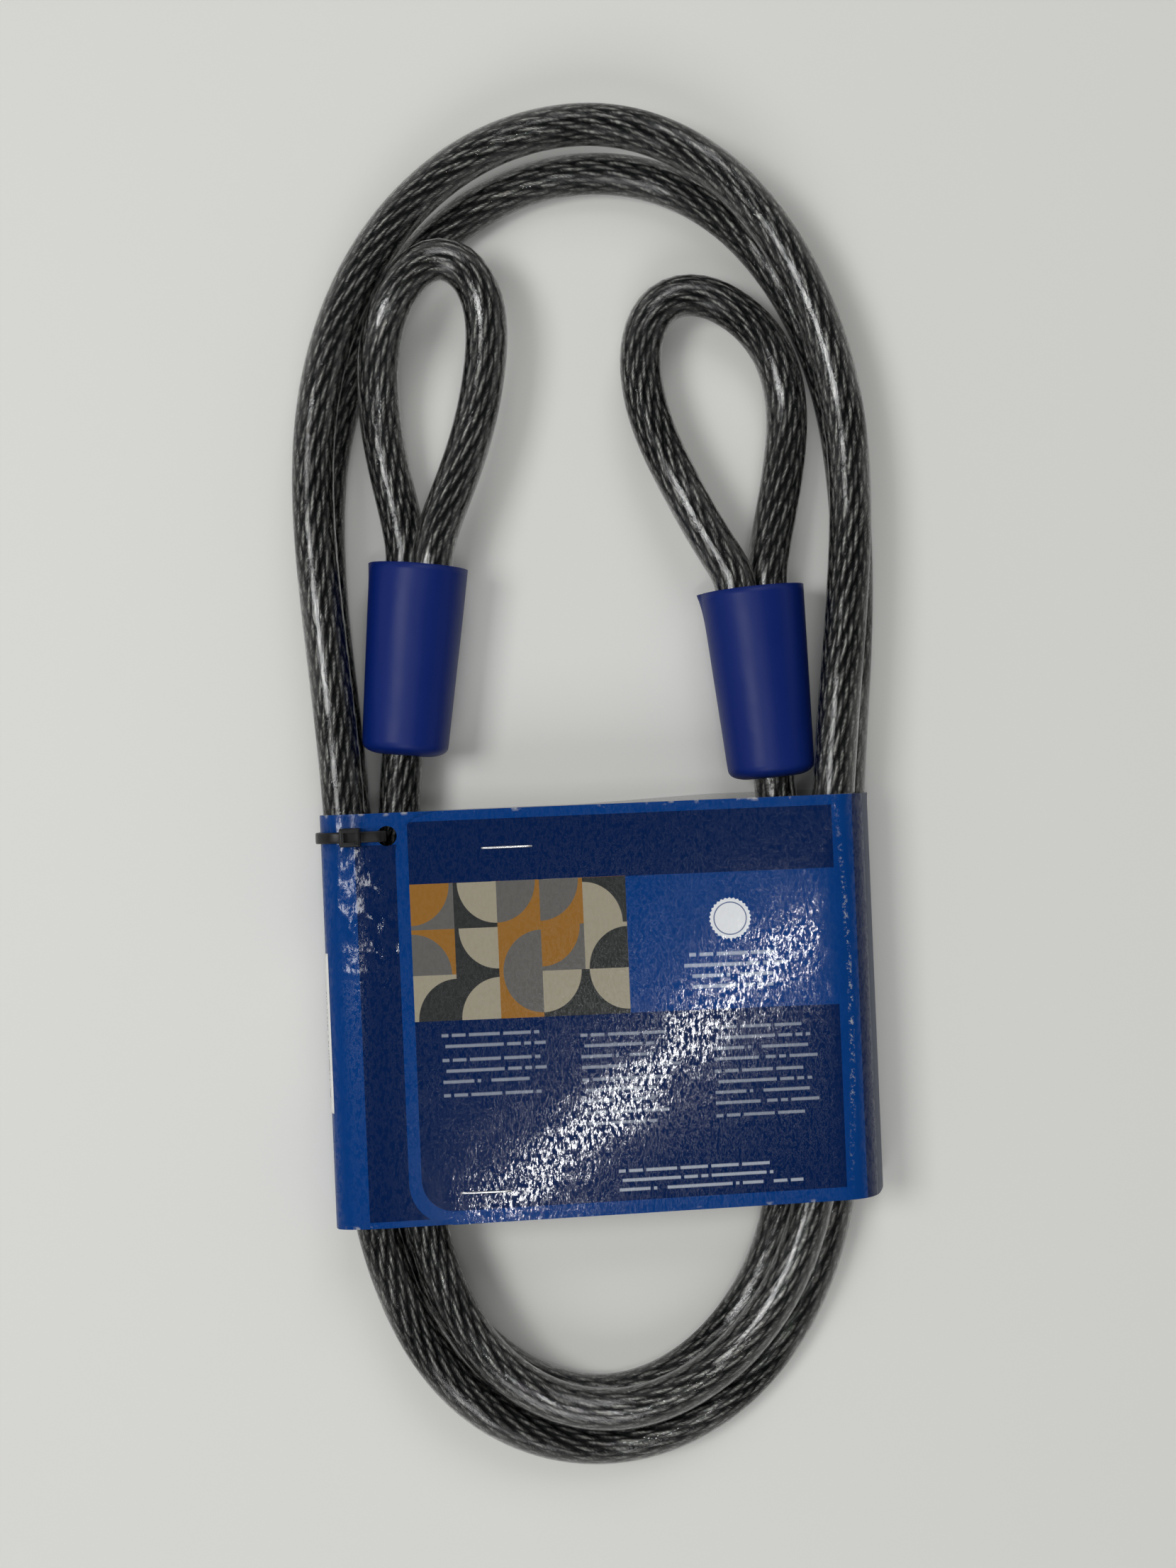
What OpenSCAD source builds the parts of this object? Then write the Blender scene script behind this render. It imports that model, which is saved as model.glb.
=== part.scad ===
// Coiled security cable: one wire rope in a clear vinyl coat, with a crimped eye at each end.
// Each crimp is hidden by a slip-on cover. A stapled card band and a cable tie hold the coil.
// Millimetres, +Z up, lying flat. The origin is the middle of the underside of the whole object.

/* [Cable] */
// Outer diameter of the vinyl coat
cable_d = 10; // [9:0.5:10]
// Diameter of the wire rope inside the coat
rope_d = 6; // [5:0.5:7]
// Space between the rope and whatever it runs through
rope_fit = 0.1; // [0.05:0.05:0.2]
// Depth of the flat that the coat has where it lies on the floor
rest_flat = 1; // [0.5:0.1:1]
// Space between one turn and the turn that lies on it
turn_gap = 0.5; // [0.45:0.05:0.8]

/* [Crimps] */
// Length of the ferrule
ferrule_l = 24; // [16:1:26]
// Diameter of the ferrule
ferrule_d = 18; // [17:0.1:18.2]
// Metal left between the two bores of the ferrule
bore_web = 0.6; // [0.4:0.1:1]
// Bare rope between the ferrule and the coat on each side of it
strip_l = 4; // [3:0.5:5]
// Space between the two coated legs where they enter a cover
leg_gap = 0.5; // [0.4:0.1:0.6]

/* [Covers] */
// Length of a slip-on cover
cover_l = 45; // [43:1:48]
// Wall of a cover
cover_wall = 1; // [0.8:0.1:1.1]
// Space between a cover and the ferrule that it sits on
cover_fit = 0.2; // [0.1:0.05:0.3]
// How much wider the left cover is at its mouth than at its closed end
left_flare = 3.2; // [3:0.1:3.6]
// The same of the right cover, which its legs spread a little
right_flare = 4.2; // [3.6:0.1:4.4]
// Rounding of the closed end
cover_round = 4; // [2:0.5:5]
// Space between the covers and the floor
cover_lift = 0.3; // [0.2:0.1:0.6]
// Space between a cover and the tail that leaves it
tail_fit = 0.4; // [0.3:0.05:0.6]

/* [Card] */
// Thickness of the card
card_t = 0.5; // [0.3:0.05:0.6]
// Length of the band along the coil
card_l = 96; // [80:1:98]
// Height to which the card reaches above the lowest run, in turns of cable
card_rise = 1.45; // [1.45:0.05:1.7]
// Space between the front flap and the flap under it
flap_gap = 0.2; // [0.1:0.05:0.4]
// Corner radius of the front flap
flap_round = 10; // [4:1:14]

/* [Fasteners] */
// Width of a staple's crown
staple_w = 12.7; // [10:0.1:14]
// Thickness of a staple's wire
staple_t = 0.5; // [0.4:0.05:0.7]
// Length of each turned-in staple leg
clinch_l = 3.5; // [2:0.5:4.5]
// Width of the cable tie's strap
tie_w = 2.6; // [2:0.1:3.6]
// Thickness of the cable tie's strap
tie_t = 1; // [0.8:0.1:1.1]
// Size of the cable tie's head: along the strap, across it, and its height
tie_head = [4.9, 4.4, 3.4];
// Length of the barcode label
label_l = 37; // [20:1:50]
// Thickness of the barcode label
label_t = 0.15; // [0.1:0.05:0.2]

/* [Hidden] */

sides = 8;           // sides of the rope and of its coat
rings_per_step = 2;  // rings between two points of a route
fn_round = 64;
eps = 0.01;

// Where the outline's middle lies in the numbers below
middle = [0.8, -1.4];

// ---- Heights ----
floor_h = cable_d / 2 - rest_flat;            // centre of a run on the floor
layer = cable_d + turn_gap;                   // from one run up to a run on top of it

// ---- The two crimped ends ----
cover_end_d = ferrule_d + 2 * (cover_fit + cover_wall);
left_mouth_d = cover_end_d + left_flare;
right_mouth_d = cover_end_d + right_flare;
cover_h = max(left_mouth_d, right_mouth_d) / 2 + cover_lift;   // height of the covers' axes
left_mouth = [-40.3, 51.7];
left_lean = 4.3;
left_turn = 231;
right_mouth = [39, 46.3];
right_lean = -6.2;
right_turn = -40;
// Each end is [x and y of the cover's mouth, lean, turn of the leg pair, mouth diameter].
// Its own frame looks from the mouth to the closed end: right, up, and depth into the cover.
left_end = [left_mouth, left_lean, left_turn, left_mouth_d];
right_end = [right_mouth, right_lean, right_turn, right_mouth_d];

coat_in = 5;                                  // depth at which the eye's coat ends
ferrule_in = coat_in + strip_l;               // depth at which the ferrule starts
ferrule_out = ferrule_in + ferrule_l;         // depth at which it ends
tail_in = ferrule_out + strip_l;              // depth at which the tail's coat starts
leg_r = (cable_d + leg_gap) / 2;              // from the axis to each coated leg
bore_r = (rope_d + bore_web) / 2 + rope_fit;  // from the axis to each bore of the ferrule
tail_out = 0.6;                               // the tail's place: outwards from the axis
tail_up = -2;                                 // and up from it
slide_room = 22;                              // the tail stays straight this far past the ferrule

function unit(v) = v / norm(v);
function in_end(end, side, up, depth) =
    let (lean = end[1])
    [end[0].x + side * cos(lean) - depth * sin(lean),
     end[0].y - side * sin(lean) - depth * cos(lean), cover_h + up];
function leg(end, r, depth, way) =
    in_end(end, way * r * cos(end[2]), way * r * sin(end[2]), depth);
function tail(end, depth) =
    in_end(end, sign(end[0].x) * tail_out, tail_up, depth);

// ---- The coil ----
// Line of the outermost run, at places round the oval from the left side downwards
oval = [[-66.5, 72], [-62.5, 35], [-57, -5], [-56, -45], [-54.3, -85], [-47.5, -119],
    [-31, -148], [-2, -162.2], [28, -155.2], [50.3, -132], [61, -100], [62, -55], [60.4, -10],
    [64.3, 35], [64, 75], [56.8, 110.5], [38.3, 143.2], [8, 159.6], [-25, 153.5], [-49.5, 132.5],
    [-63, 103.5]];
first_place = 3;
last_place = 2 * len(oval) + 11;
// How far inside that line the cable lies: [place counted along the cable, distance]
tuck = [[3, 12], [4, 12], [5, 11.2], [6, 11.4], [7, 11.6], [8, 10.5], [9, 8], [10, 5.6],
    [11, 5], [12, 3.7], [13, 3.7], [14, 0.5], [15, 0], [34, 0], [35, 0.4], [36, 1], [37, 5.2],
    [38, 10], [39, 9.8], [40, 8], [41, 5.5], [42, 1.5], [43, 0], [45, 1], [46, 3.5],
    [47, 6.5], [48, 10.8], [49, 12.4], [50, 12.5], [51, 12], [52, 11.5], [53, 13.5]];
// How far a run lies above the floor run, in layers
lift = [[3, 0.8], [4, 1], [5, 1.06], [6, 1], [10, 1], [11, 1.1], [12, 1.5], [13, 1.3], [14, 1.03],
    [22, 1.03], [23, 1.35], [24, 1.17], [25, 1.12], [26, 1], [27, 0.8], [28, 0], [30, 0],
    [31, 0.18], [32, 0.15], [33, 0.2], [34, 0], [43, 0], [44, 0.36], [45, 0.15], [46, 0.17],
    [47, 0.12], [48, 0], [51, 0], [52, 0.18], [53, 0.25]];

function place(i) = oval[i % len(oval)];
function inwards(i) =
    let (along = unit(place(i + 1) - place(i + len(oval) - 1)))
    [-along.y, along.x];
function lay(i) =
    let (p = place(i) + lookup(i, tuck) * inwards(i))
    [p.x, p.y, floor_h + lookup(i, lift) * layer];

// ---- The eyes: points from the leg that goes on to the coil, round to the cut end ----
left_eye = [[-45.2, 65.5, 8.5], [-48, 76, 8.5], [-50, 88, 10], [-50.3, 100, 13],
    [-48.3, 110.5, 16.5], [-43.5, 120, 17.3], [-35.3, 125.8, 17], [-26.8, 121, 16],
    [-23.5, 110, 15.2], [-24.5, 97, 15.2], [-27, 84, 15.2], [-31, 72, 15.5], [-35, 62, 16.3]];
right_eye = [[44.5, 62, 8.5], [47.4, 77, 7.2], [48.3, 92, 6.2], [44.8, 104.5, 6.5],
    [37, 113.3, 7.5], [26.5, 118.2, 8.5], [17, 116, 9.5], [12.6, 107.5, 10.5], [12.2, 97, 11.5],
    [15.2, 84.5, 12.7], [21.6, 71.5, 14], [29.5, 57, 15.4]];

// ---- Routes ----
// A cubic spline drawn by its points, so that every bend is smooth
function blend(a, b, c, d, t) =
    (a * pow(1 - t, 3) + b * (3 * pow(t, 3) - 6 * t * t + 4)
     + c * (-3 * pow(t, 3) + 3 * t * t + 3 * t + 1) + d * pow(t, 3)) / 6;
function spline(p, steps) =
    [for (i = [0 : len(p) - 4], k = [0 : steps - (i < len(p) - 4 ? 1 : 0)])
        blend(p[i], p[i + 1], p[i + 2], p[i + 3], k / steps)];

lead = [6, 1, -4];    // depths of the points where an eye's legs run straight
run_on = [0, 7, 14, slide_room];     // the same past the start of the tail's coat
function eye_route(end, points, steps) = concat(
    [leg(end, leg_r, coat_in, 1)],
    spline(concat([for (d = lead) leg(end, leg_r, d, 1)], points,
        [for (d = [2 : -1 : 0]) leg(end, leg_r, lead[d], -1)]), steps),
    [leg(end, leg_r, coat_in, -1)]);
function coil_route(steps) = concat(
    [tail(left_end, tail_in)],
    spline(concat([for (d = run_on) tail(left_end, tail_in + d)],
        [for (i = [first_place : last_place]) lay(i)],
        [for (d = [len(run_on) - 1 : -1 : 0]) tail(right_end, tail_in + run_on[d])]), steps),
    [tail(right_end, tail_in)]);
function in_ferrule(end, way) =
    [leg(end, bore_r, ferrule_in, way), leg(end, bore_r, ferrule_out, way)];
function turned(list) = [for (i = [len(list) - 1 : -1 : 0]) list[i]];

left_eye_route = eye_route(left_end, left_eye, rings_per_step);
right_eye_route = eye_route(right_end, right_eye, rings_per_step);
coil_coat_route = coil_route(rings_per_step);
// The rope's stretches in turn: it bends only where it is bare, between a ferrule and a coat
rope_stretches = [
    turned(in_ferrule(left_end, -1)), turned(left_eye_route), in_ferrule(left_end, 1),
    coil_coat_route,
    turned(in_ferrule(right_end, 1)), right_eye_route, in_ferrule(right_end, -1)];

function length_of(p) =
    let (steps = [for (i = [1 : len(p) - 1]) norm(p[i] - p[i - 1])])
    steps * [for (s = steps) 1];
// Least space between the runs of a route that lie more than `apart` points from each other
function least_gap(p, apart) =
    let (last = len(p) - 1)
    min([for (i = [0 : last - apart]) min([for (j = [i + apart : last]) norm(p[i] - p[j])])])
    - cable_d;
echo(rope_length = length_of([for (stretch = rope_stretches) each stretch]));
echo(coil_gap = least_gap(coil_route(steps = 6), apart = 14));
echo(left_eye_gap = least_gap(eye_route(left_end, left_eye, steps = 6), apart = 34));
echo(right_eye_gap = least_gap(eye_route(right_end, right_eye, steps = 6), apart = 34));

// ---- Swept tubes ----
function heading(p, i) = unit(p[min(i + 1, len(p) - 1)] - p[max(i - 1, 0)]);
// The corners of the tube round point i. None goes below the floor.
function ring(p, i, r) =
    let (along = heading(p, i), side = unit(cross(along, [0, 0, 1])), up = cross(side, along))
    [for (k = [0 : sides - 1])
        let (a = 360 * (k + 0.5) / sides, q = p[i] + r * (cos(a) * side + sin(a) * up))
        [q.x, q.y, max(q.z, 0)]];
function skin(p, r) = [for (i = [0 : len(p) - 1]) each ring(p, i, r)];
// Triangles between one ring of corners, from a, and the next, from b
function wall_faces(a, b, out) =
    [for (k = [0 : sides - 1]) let (n = (k + 1) % sides)
        each out ? [[a + k, a + n, b + n], [a + k, b + n, b + k]]
                 : [[a + n, a + k, b + n], [b + n, a + k, b + k]]];

module rope_solid(stretches, r) {
    points = [for (p = stretches) each skin(p, r)];
    last = len(points) - sides;
    polyhedron(
        points = points,
        faces = concat(
            [for (i = [0 : sides : last - sides]) each wall_faces(i, i + sides, true)],
            [for (k = [1 : sides - 2]) [0, k + 1, k]],
            [for (k = [1 : sides - 2]) [last, last + k, last + k + 1]]));
}

module coat_solid(p, r_out, r_in) {
    inner = len(p) * sides;
    last = (len(p) - 1) * sides;
    polyhedron(
        points = concat(skin(p, r_out), skin(p, r_in)),
        faces = concat(
            [for (i = [0 : len(p) - 2]) each wall_faces(i * sides, (i + 1) * sides, true)],
            [for (i = [0 : len(p) - 2])
                each wall_faces(inner + i * sides, inner + (i + 1) * sides, false)],
            wall_faces(inner, 0, true),
            wall_faces(last, inner + last, true)));
}

module coat(p) {
    color([0.25, 0.26, 0.28, 0.6]) from_middle() coat_solid(p, cable_d / 2, rope_d / 2 + rope_fit);
}

// ---- Frames ----
module from_middle() {
    translate([-middle.x, -middle.y, 0]) children();
}
module at_end(end) {
    from_middle() translate([end[0].x, end[0].y, cover_h]) rotate([90, 0, -end[1]]) children();
}

// ---- Cable ----
module steel_rope() {
    color([0.55, 0.57, 0.58]) from_middle() rope_solid(rope_stretches, rope_d / 2);
}
module left_eye_coat() {
    coat(left_eye_route);
}
module coil_coat() {
    coat(coil_coat_route);
}
module right_eye_coat() {
    coat(right_eye_route);
}

// ---- Crimps: a round swaged sleeve with a bore for each leg of the rope ----
module ferrule(end) {
    edge = 1;
    color([0.75, 0.76, 0.78]) at_end(end) translate([0, 0, ferrule_in]) difference() {
        rotate_extrude($fn = fn_round) polygon([[0, 0], [ferrule_d / 2 - edge, 0],
            [ferrule_d / 2, edge], [ferrule_d / 2, ferrule_l - edge],
            [ferrule_d / 2 - edge, ferrule_l], [0, ferrule_l]]);
        for (way = [-1, 1]) rotate([0, 0, end[2]]) translate([way * bore_r, 0, -1])
            cylinder(h = ferrule_l + 2, r = rope_d / 2 + rope_fit, $fn = fn_round);
    }
}
module left_ferrule() {
    ferrule(left_end);
}
module right_ferrule() {
    ferrule(right_end);
}

// ---- Covers: a tapered sleeve, open at the mouth, with a hole for the tail in its closed end ----
end_walls = 1.6;                          // thickness of the closed end, in walls
// Half outline at a distance `inset` inside the outer surface
function cover_outline(mouth_r, inset) =
    let (end_r = cover_end_d / 2 - inset, round_r = max(cover_round - inset, 1),
         l = cover_l - inset * end_walls)
    concat([[mouth_r - inset, 0]],
        [for (a = [0 : 30 : 90])
            [end_r - round_r + round_r * cos(a), l - round_r + round_r * sin(a)]],
        [[0, l]]);
module cover(end) {
    mouth_r = end[3] / 2;
    color([0.13, 0.17, 0.45]) at_end(end) difference() {
        rotate_extrude($fn = fn_round) polygon(concat([[0, 0]], cover_outline(mouth_r, 0)));
        translate([0, 0, -eps])
            rotate_extrude($fn = fn_round)
                polygon(concat([[0, 0]], cover_outline(mouth_r, cover_wall)));
        translate([sign(end[0].x) * tail_out, tail_up, cover_l / 2])
            cylinder(h = cover_l, r = cable_d / 2 + tail_fit, $fn = fn_round);
    }
}
module left_cover() {
    cover(left_end);
}
module right_cover() {
    cover(right_end);
}

// ---- Card band ----
card_at = [0.6, -52.8];
card_turn = 2.4;
card_h = floor_h + card_rise * layer + cable_d / 2;     // top of the card's front
front_z = card_h - card_t / 2;            // middle of the front panel's thickness
under_z = front_z - card_t - flap_gap;    // the same of the flap under it
back_z = card_t / 2;
flap_x = -44;                             // free edge of the front flap
under_x = -6;                             // free edge of the flap under it
left_x = -56.9 - cable_d / 2;             // the card's left side, beside the outermost run
right_x = 63.6 + cable_d / 2;             // its right side at its widest
// Middle line of the card seen along the coil, from the hidden edge round to the flap's edge
left_side = [[left_x + 6.4, under_z], [left_x + 2.3, under_z - 1.6], [left_x, under_z - 4],
    [left_x, 7], [left_x + 1, back_z]];
right_side = [[right_x - 1, back_z], [right_x, 5], [right_x - 1.6, 14],
    [right_x - 3.2, front_z - 4], [right_x - 7.2, front_z]];
card_line = concat([[under_x, under_z]], left_side, right_side, [[flap_x, front_z]]);

// A strip of thickness t along a line, moved out from it by `off`
function strip_side(p, d) =
    [for (i = [0 : len(p) - 1])
        let (a = i > 0 ? unit(p[i] - p[i - 1]) : unit(p[1] - p[0]),
             b = i < len(p) - 1 ? unit(p[i + 1] - p[i]) : a,
             m = unit([-a.y - b.y, a.x + b.x]))
        p[i] + m * d / (m * [-a.y, a.x])];
module strip(p, t, l, off = 0) {
    rotate([90, 0, 0]) linear_extrude(l, center = true)
        polygon(concat(strip_side(p, off - t / 2), turned(strip_side(p, off + t / 2))));
}
module on_card() {
    from_middle() translate([card_at.x, card_at.y, 0]) rotate(card_turn) children();
}

top_staple_in = 9.1;                      // from the card's far edge to the top staple
bottom_staple_in = 7.1;                   // from the near edge to the bottom staple
// Middle of each staple's crown
staples = [[-18, card_l / 2 - top_staple_in], [-26.1, bottom_staple_in - card_l / 2]];
staple_slot = 0.2;                        // room round a staple's leg
hole_d = 4.7;                             // hole in the card for the tie
hole_in = 5.4;                            // from the card's far edge to that hole
tie_hole = [-45.9, card_l / 2 - hole_in];
tie_slot_h = 2.6;                         // height of the tie's slot in the card's left side
tie_slot_fit = 0.3;                       // room beside the strap in that slot

module staple_slots() {
    for (s = staples, side = [-1, 1])
        translate([s.x + side * (staple_w - staple_t) / 2, s.y, front_z])
            cube([staple_t + staple_slot, staple_t + staple_slot, 4], center = true);
}
module flap_corner() {
    difference() {
        translate([flap_x - 1, card_l / 2 - flap_round, 0]) cube([flap_round + 1, flap_round + 1, 2]);
        translate([flap_x + flap_round, card_l / 2 - flap_round, -1])
            cylinder(h = 4, r = flap_round, $fn = fn_round);
    }
}
module card_wrap() {
    color([0.12, 0.28, 0.58]) on_card() difference() {
        strip(card_line, card_t, card_l);
        translate([0, 0, front_z - card_t / 2 - flap_gap / 2]) {
            flap_corner();
            mirror([0, 1, 0]) flap_corner();
        }
        translate([tie_hole.x, tie_hole.y, under_z - 1]) cylinder(h = 2, d = hole_d, $fn = fn_round);
        translate([left_x - 1, tie_hole.y - tie_w / 2 - tie_slot_fit, card_t])
            cube([4, tie_w + 2 * tie_slot_fit, tie_slot_h]);
        staple_slots();
    }
}

// ---- Staples ----
staple_fit = 0.05;                        // space between a staple and the card
module staple(at) {
    crown_z = front_z + card_t / 2 + staple_fit;
    clinch_z = under_z - card_t / 2 - staple_fit;
    color([0.8, 0.8, 0.82]) on_card() translate([at.x, at.y, 0]) {
        translate([-staple_w / 2, -staple_t / 2, crown_z]) cube([staple_w, staple_t, staple_t]);
        for (side = [0, 1]) mirror([side, 0, 0]) {
            translate([staple_w / 2 - staple_t, -staple_t / 2, clinch_z - staple_t])
                cube([staple_t, staple_t, crown_z - clinch_z + 2 * staple_t]);
            translate([staple_w / 2 - clinch_l, -staple_t / 2, clinch_z - staple_t])
                cube([clinch_l, staple_t, staple_t]);
        }
    }
}
module top_staple() {
    staple(staples[0]);
}
module bottom_staple() {
    staple(staples[1]);
}

// ---- Cable tie: round the two left runs and the card's side, back through the card's hole ----
tie_fit = 0.1;                            // space between the strap and the card's front
tie_side_fit = 0.2;                       // the same at the card's side
tie_low_fit = 0.25;                       // the same at the card's back
tie_z = under_z + card_t / 2 + tie_fit + tie_t / 2;     // middle of the strap on the card
head_x = -54.3;
tie_in_x = cable_d / 2 - 54.95;           // the strap between the left runs and the tail
tie_low_z = card_t + tie_low_fit + tie_t / 2;           // the strap under the left runs
tie_out_x = left_x - card_t / 2 - tie_side_fit - tie_t / 2;
tie_bend = 1.6;                           // drop of the strap's rounded corner at the floor
tie_turn_in = 3.8;                        // and at the card's front, where it turns in
tie_line = [[head_x + 1, tie_z], [-47.4, tie_z], [tie_hole.x - 0.5, tie_z - 1],
    [tie_hole.x - 0.9, under_z - 0.6], [tie_in_x, 15.5], [tie_in_x, 3],
    [tie_in_x - 1.55, tie_low_z], [left_x + 0.5, tie_low_z], [tie_out_x, tie_low_z + tie_bend],
    [tie_out_x, under_z - tie_turn_in], [left_x + 1.6, under_z - 0.2], [left_x + 4.4, tie_z],
    [head_x - 1, tie_z]];
module cable_tie() {
    color([0.08, 0.08, 0.09]) on_card() translate([0, tie_hole.y, 0]) {
        strip(tie_line, tie_t, tie_w);
        translate([head_x, 0, tie_z - tie_t / 2 + tie_head.z / 2]) cube(tie_head, center = true);
    }
}

// ---- Barcode label, stuck round the card's left side ----
label_fit = 0.05;                         // space between the label and the card
label_in = 51;                            // from the card's far edge to the label's middle
label_reach = 0.15;                       // share of the card's shoulder that it reaches over
module barcode_label() {
    on_front = left_side[1] + label_reach * (left_side[0] - left_side[1]);
    label_line = [on_front, left_side[1], left_side[2], left_side[3]];
    color([0.93, 0.93, 0.92]) on_card() translate([0, card_l / 2 - label_in, 0])
        strip(label_line, label_t, label_l, -card_t / 2 - label_t / 2 - label_fit);
}

steel_rope();
left_eye_coat();
coil_coat();
right_eye_coat();
left_ferrule();
right_ferrule();
left_cover();
right_cover();
card_wrap();
top_staple();
bottom_staple();
cable_tie();
barcode_label();
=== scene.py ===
"""A double-loop security cable as it is sold: coiled, with its card band and its cable tie."""

from math import ceil, cos, pi, radians, sin, sqrt

import bmesh
import bpy
from mathutils import Matrix, Vector, noise
from mathutils.kdtree import KDTree


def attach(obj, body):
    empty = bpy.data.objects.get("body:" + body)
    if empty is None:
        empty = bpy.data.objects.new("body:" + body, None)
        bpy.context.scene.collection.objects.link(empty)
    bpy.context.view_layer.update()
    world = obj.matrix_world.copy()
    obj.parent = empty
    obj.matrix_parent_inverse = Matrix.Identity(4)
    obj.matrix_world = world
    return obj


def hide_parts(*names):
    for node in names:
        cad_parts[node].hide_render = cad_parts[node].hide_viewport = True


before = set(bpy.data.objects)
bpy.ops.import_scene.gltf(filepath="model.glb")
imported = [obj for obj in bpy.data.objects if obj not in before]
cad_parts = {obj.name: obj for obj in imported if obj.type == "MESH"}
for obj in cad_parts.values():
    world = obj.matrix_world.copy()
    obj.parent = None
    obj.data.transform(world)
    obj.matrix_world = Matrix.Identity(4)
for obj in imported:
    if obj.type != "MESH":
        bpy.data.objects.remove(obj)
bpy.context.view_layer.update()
mm = 0.001


# ---- The view ----
# A camera held level over the coil, at arm's length and a little off its middle. Its focal length
# is given in pixels of its frame's height.
view_height = 600 * mm
view_over = Vector((-0.8, 1.4)) * mm
frame_height_px = 2212
focal_px = 3481

camera = bpy.data.objects.new("camera", bpy.data.cameras.new("camera"))
camera.data.sensor_fit = "VERTICAL"
camera.data.sensor_height = 36
camera.data.lens = camera.data.sensor_height * focal_px / frame_height_px
camera.location = (view_over.x, view_over.y, view_height)
bpy.context.scene.collection.objects.link(camera)
bpy.context.scene.camera = camera
bpy.context.scene.view_settings.view_transform = "Standard"


# ---- The steel rope ----
# One length of galvanised rope: eight strands laid right-handed round a core, each of fine wires.
# It starts in the left ferrule, makes the left eye, goes back through the ferrule, runs round the
# coil, and ends the same way in the right ferrule.
cable_d = 10 * mm
rest_flat = 1 * mm
turn_gap = 0.5 * mm
floor_run = cable_d / 2 - rest_flat       # height of a run that lies on the floor
layer = cable_d + turn_gap                # from one run up to the run on top of it

middle = Vector((0.8, -1.4, 0)) * mm
cover_h = 12.6 * mm
coat_in = 5 * mm
strip_l = 4 * mm
ferrule_l = 24 * mm
ferrule_in = coat_in + strip_l
ferrule_out = ferrule_in + ferrule_l
tail_in = ferrule_out + strip_l
leg_out = 5.25 * mm                       # from a cover's axis to each coated leg
bore_out = 3.4 * mm                       # and to each bore of the ferrule
tail_side = 0.6 * mm
tail_up = -2 * mm


def crimped_end(x, y, lean):
    """Where a cover's mouth is: its x runs sideways, its y upwards and its z into the cover."""
    return (Matrix.Translation(Vector((x * mm, y * mm, cover_h)) - middle)
            @ Matrix.Rotation(radians(-lean), 4, "Z") @ Matrix.Rotation(radians(90), 4, "X"))


left_end = crimped_end(-40.3, 51.7, lean=4.3)
right_end = crimped_end(39, 46.3, lean=-6.2)
left_turn = radians(231)                  # how far the pair of legs is turned in each cover
right_turn = radians(-40)


def leg(end, turn, out, depth):
    return end @ Vector((out * cos(turn), out * sin(turn), depth))


def tail(end, side, depth):
    return end @ Vector((side * tail_side, tail_up, depth))


# The outermost run, at places round the oval from the left side downwards
oval = [Vector(p) * mm for p in (
    (-66.5, 72), (-62.5, 35), (-57, -5), (-56, -45), (-54.3, -85), (-47.5, -119), (-31, -148),
    (-2, -162.2), (28, -155.2), (50.3, -132), (61, -100), (62, -55), (60.4, -10), (64.3, 35),
    (64, 75), (56.8, 110.5), (38.3, 143.2), (8, 159.6), (-25, 153.5), (-49.5, 132.5), (-63, 103.5))]
first_place = 3
last_place = 2 * len(oval) + 11
# How far inside that run the cable lies, by the place counted along the cable, in millimetres
tuck = {3: 12, 4: 12, 5: 11.2, 6: 11.4, 7: 11.6, 8: 10.5, 9: 8, 10: 5.6, 11: 5, 12: 3.7, 13: 3.7,
        14: 0.5, 15: 0, 34: 0, 35: 0.4, 36: 1, 37: 5.2, 38: 10, 39: 9.8, 40: 8, 41: 5.5, 42: 1.5,
        43: 0, 45: 1, 46: 3.5, 47: 6.5, 48: 10.8, 49: 12.4, 50: 12.5, 51: 12, 52: 11.5, 53: 13.5}
# How far it lies above the floor run, in layers
lift = {3: 0.8, 4: 1, 5: 1.06, 6: 1, 10: 1, 11: 1.1, 12: 1.5, 13: 1.3, 14: 1.03, 22: 1.03, 23: 1.35,
        24: 1.17, 25: 1.12, 26: 1, 27: 0.8, 28: 0, 30: 0, 31: 0.18, 32: 0.15, 33: 0.2, 34: 0, 43: 0,
        44: 0.36, 45: 0.15, 46: 0.17, 47: 0.12, 48: 0, 51: 0, 52: 0.18, 53: 0.25}
# The eyes, from the leg that goes on to the coil round to the cut end
left_eye = [Vector(p) * mm - middle for p in (
    (-45.2, 65.5, 8.5), (-48, 76, 8.5), (-50, 88, 10), (-50.3, 100, 13), (-48.3, 110.5, 16.5),
    (-43.5, 120, 17.3), (-35.3, 125.8, 17), (-26.8, 121, 16), (-23.5, 110, 15.2),
    (-24.5, 97, 15.2), (-27, 84, 15.2), (-31, 72, 15.5), (-35, 62, 16.3))]
right_eye = [Vector(p) * mm - middle for p in (
    (44.5, 62, 8.5), (47.4, 77, 7.2), (48.3, 92, 6.2), (44.8, 104.5, 6.5), (37, 113.3, 7.5),
    (26.5, 118.2, 8.5), (17, 116, 9.5), (12.6, 107.5, 10.5), (12.2, 97, 11.5), (15.2, 84.5, 12.7),
    (21.6, 71.5, 14), (29.5, 57, 15.4))]


def between(table, at):
    """The value of a table of places at a place between them."""
    low = max(place for place in table if place <= at)
    high = min(place for place in table if place >= at)
    share = (at - low) / (high - low) if high > low else 0
    return table[low] + share * (table[high] - table[low])


def lay(place):
    """Where the cable's line is drawn to at a place."""
    here, before, after = (oval[(place + step) % len(oval)] for step in (0, -1, 1))
    along = (after - before).normalized()
    spot = here + between(tuck, place) * mm * Vector((-along.y, along.x))
    return Vector((spot.x, spot.y, floor_run + between(lift, place) * layer)) - middle


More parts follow.
